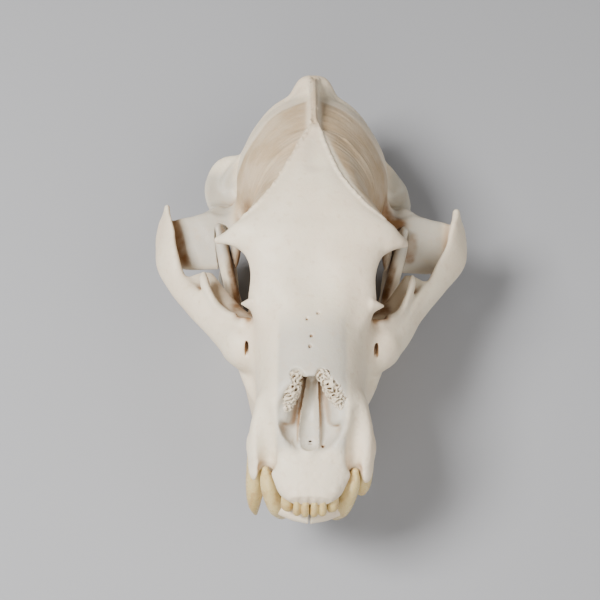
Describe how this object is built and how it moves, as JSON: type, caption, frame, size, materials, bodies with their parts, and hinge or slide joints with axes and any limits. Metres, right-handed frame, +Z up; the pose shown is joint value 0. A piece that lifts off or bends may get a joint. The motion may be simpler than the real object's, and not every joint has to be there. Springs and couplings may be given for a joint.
{
  "type": "black bear skull",
  "caption": "Cleaned adult black bear skull with its lower jaw closed, a still life-size model resting nose up on the lower edge of its jaw.",
  "frame": {"origin": "on the floor, at the middle of the skull's length and width", "axes": "+X to the animal's left, +Y from the nose to the back of the head, +Z up"},
  "size_m": [0.1938, 0.2966, 0.1364],
  "materials": {
    "bone": "cleaned dry bone, matt with a faint sheen on the forehead",
    "tooth": "ivory enamel, smooth, stained towards the roots"
  },
  "bodies": {
    "root": {"braincase": "bone", "face": "bone", "zygomatic_arch_left": "bone", "zygomatic_arch_right": "bone", "mandible_left": "bone", "mandible_right": "bone"}
  },
  "joints": []
}
